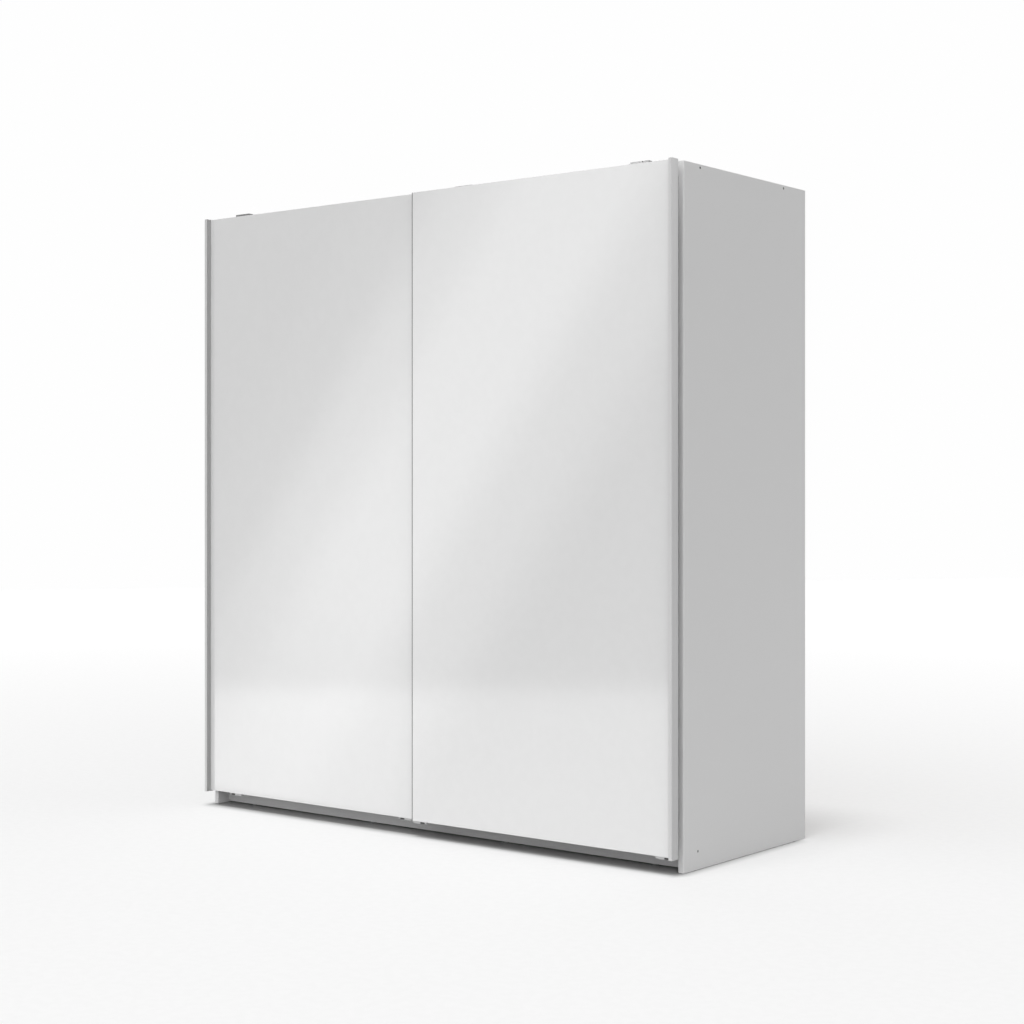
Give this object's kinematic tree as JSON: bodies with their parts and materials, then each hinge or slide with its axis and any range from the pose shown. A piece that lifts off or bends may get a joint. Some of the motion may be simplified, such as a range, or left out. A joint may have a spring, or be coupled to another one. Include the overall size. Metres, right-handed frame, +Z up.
{
  "type": "sliding door wardrobe",
  "caption": "Free-standing wardrobe with flat gloss doors that hang from a top track and slide past each other in front of shelves and a hanging rail.",
  "frame": {"origin": "on the floor, under the middle of the whole object", "axes": "+X to the right as seen from the front, +Y from the doors to the wall, +Z up"},
  "size_m": [1.824, 0.7096, 1.94],
  "materials": {
    "carcass_board": "matt light-grey melamine with a fine print texture",
    "edge_and_shelf_board": "matt light-grey melamine",
    "back_board": "satin white hardboard",
    "door_gloss": "high-gloss white lacquer on board",
    "handle_profile": "satin white powder coat",
    "track_aluminium": "natural anodised",
    "hanger_steel": "zinc plated",
    "steel_small": "zinc plated",
    "roller_nylon": "matt nylon",
    "guide_plastic": "satin light-grey plastic",
    "black_plastic": "matt black plastic",
    "rail_profile": "satin grey extruded plastic",
    "rail_chrome": "polished chrome",
    "buffer_rubber": "matt rubber",
    "seal_grey": "soft grey lip",
    "dowel_beech": "raw beech"
  },
  "bodies": {
    "carcass": {"back_joint_strip": "guide_plastic", "back_panel_left": "back_board", "back_panel_right": "back_board", "bottom_guide_rail": "rail_profile", "bottom_panel": "carcass_board", "carcass_screws": "steel_small", "centre_partition": "edge_and_shelf_board", "floor_glides": "rail_profile", "hanging_rail": "rail_chrome", "hat_shelf_left": "edge_and_shelf_board", "hat_shelf_right": "edge_and_shelf_board", "plinth_brace": "edge_and_shelf_board", "plinth_front": "carcass_board", "plinth_rear": "carcass_board", "rail_flanges": "guide_plastic", "shelf_lower": "edge_and_shelf_board", "shelf_middle": "edge_and_shelf_board", "shelf_supports": "steel_small", "shelf_upper": "edge_and_shelf_board", "side_panel_left": "carcass_board", "side_panel_right": "carcass_board", "small_screws": "steel_small", "top_panel": "carcass_board", "top_track": "track_aluminium", "track_buffers": "buffer_rubber", "wall_brackets": "steel_small", "wood_dowels": "dowel_beech"},
    "door_left": {"door_panel_left": "door_gloss", "door_screws_left": "steel_small", "guide_left_inner": "guide_plastic", "guide_left_outer": "guide_plastic", "guide_wedges_left": "black_plastic", "handle_strip_left": "handle_profile", "hanger_left_inner": "hanger_steel", "hanger_left_outer": "hanger_steel", "height_adjuster_left": "hanger_steel", "roller_axles_left": "steel_small"},
    "door_right": {"door_panel_right": "door_gloss", "door_screws_right": "steel_small", "dust_seal": "seal_grey", "guide_right_inner": "guide_plastic", "guide_right_outer": "guide_plastic", "guide_wedges_right": "black_plastic", "handle_strip_right": "handle_profile", "hanger_right_inner": "hanger_steel", "hanger_right_outer": "hanger_steel", "height_adjuster_right": "hanger_steel", "roller_axles_right": "steel_small"},
    "guide_pin_left_inner": {"guide_pin_left_inner": "black_plastic"},
    "guide_pin_left_outer": {"guide_pin_left_outer": "black_plastic"},
    "guide_pin_right_inner": {"guide_pin_right_inner": "black_plastic"},
    "guide_pin_right_outer": {"guide_pin_right_outer": "black_plastic"},
    "roller_left_inner_a": {"roller_left_inner_a": "roller_nylon"},
    "roller_left_inner_b": {"roller_left_inner_b": "roller_nylon"},
    "roller_left_outer_a": {"roller_left_outer_a": "roller_nylon"},
    "roller_left_outer_b": {"roller_left_outer_b": "roller_nylon"},
    "roller_right_inner_a": {"roller_right_inner_a": "roller_nylon"},
    "roller_right_inner_b": {"roller_right_inner_b": "roller_nylon"},
    "roller_right_outer_a": {"roller_right_outer_a": "roller_nylon"},
    "roller_right_outer_b": {"roller_right_outer_b": "roller_nylon"}
  },
  "joints": [
    {"name": "door_left_slide", "type": "slide", "parent": "carcass", "child": "door_left", "axis": [1, 0, 0], "range_m": [0, 0.87]},
    {"name": "door_right_slide", "type": "slide", "parent": "carcass", "child": "door_right", "axis": [1, 0, 0], "range_m": [-0.87, 0]},
    {"name": "roller_left_outer_a_spin", "type": "hinge", "parent": "door_left", "child": "roller_left_outer_a", "pos_m": [-0.789, -0.2755, 1.8768], "axis": [0, 1, 0], "continuous": true},
    {"name": "roller_left_outer_b_spin", "type": "hinge", "parent": "door_left", "child": "roller_left_outer_b", "pos_m": [-0.753, -0.2755, 1.8768], "axis": [0, 1, 0], "continuous": true},
    {"name": "guide_pin_left_outer_latch", "type": "slide", "parent": "door_left", "child": "guide_pin_left_outer", "axis": [0, 0, -1], "range_m": [0, 0.008]},
    {"name": "roller_left_inner_a_spin", "type": "hinge", "parent": "door_left", "child": "roller_left_inner_a", "pos_m": [-0.11, -0.2755, 1.8768], "axis": [0, 1, 0], "continuous": true},
    {"name": "roller_left_inner_b_spin", "type": "hinge", "parent": "door_left", "child": "roller_left_inner_b", "pos_m": [-0.074, -0.2755, 1.8768], "axis": [0, 1, 0], "continuous": true},
    {"name": "guide_pin_left_inner_latch", "type": "slide", "parent": "door_left", "child": "guide_pin_left_inner", "axis": [0, 0, -1], "range_m": [0, 0.008]},
    {"name": "roller_right_outer_a_spin", "type": "hinge", "parent": "door_right", "child": "roller_right_outer_a", "pos_m": [0.767, -0.2465, 1.8768], "axis": [0, 1, 0], "continuous": true},
    {"name": "roller_right_outer_b_spin", "type": "hinge", "parent": "door_right", "child": "roller_right_outer_b", "pos_m": [0.803, -0.2465, 1.8768], "axis": [0, 1, 0], "continuous": true},
    {"name": "guide_pin_right_outer_latch", "type": "slide", "parent": "door_right", "child": "guide_pin_right_outer", "axis": [0, 0, -1], "range_m": [0, 0.008]},
    {"name": "roller_right_inner_a_spin", "type": "hinge", "parent": "door_right", "child": "roller_right_inner_a", "pos_m": [0.152, -0.2465, 1.8768], "axis": [0, 1, 0], "continuous": true},
    {"name": "roller_right_inner_b_spin", "type": "hinge", "parent": "door_right", "child": "roller_right_inner_b", "pos_m": [0.188, -0.2465, 1.8768], "axis": [0, 1, 0], "continuous": true},
    {"name": "guide_pin_right_inner_latch", "type": "slide", "parent": "door_right", "child": "guide_pin_right_inner", "axis": [0, 0, -1], "range_m": [0, 0.008]}
  ],
  "couplings": [
    {"joint": "roller_left_outer_a_spin", "follows": "door_left_slide", "rad_per_m": 83.333},
    {"joint": "roller_left_outer_b_spin", "follows": "door_left_slide", "rad_per_m": 83.333},
    {"joint": "roller_left_inner_a_spin", "follows": "door_left_slide", "rad_per_m": 83.333},
    {"joint": "roller_left_inner_b_spin", "follows": "door_left_slide", "rad_per_m": 83.333},
    {"joint": "roller_right_outer_a_spin", "follows": "door_right_slide", "rad_per_m": 83.333},
    {"joint": "roller_right_outer_b_spin", "follows": "door_right_slide", "rad_per_m": 83.333},
    {"joint": "roller_right_inner_a_spin", "follows": "door_right_slide", "rad_per_m": 83.333},
    {"joint": "roller_right_inner_b_spin", "follows": "door_right_slide", "rad_per_m": 83.333}
  ]
}
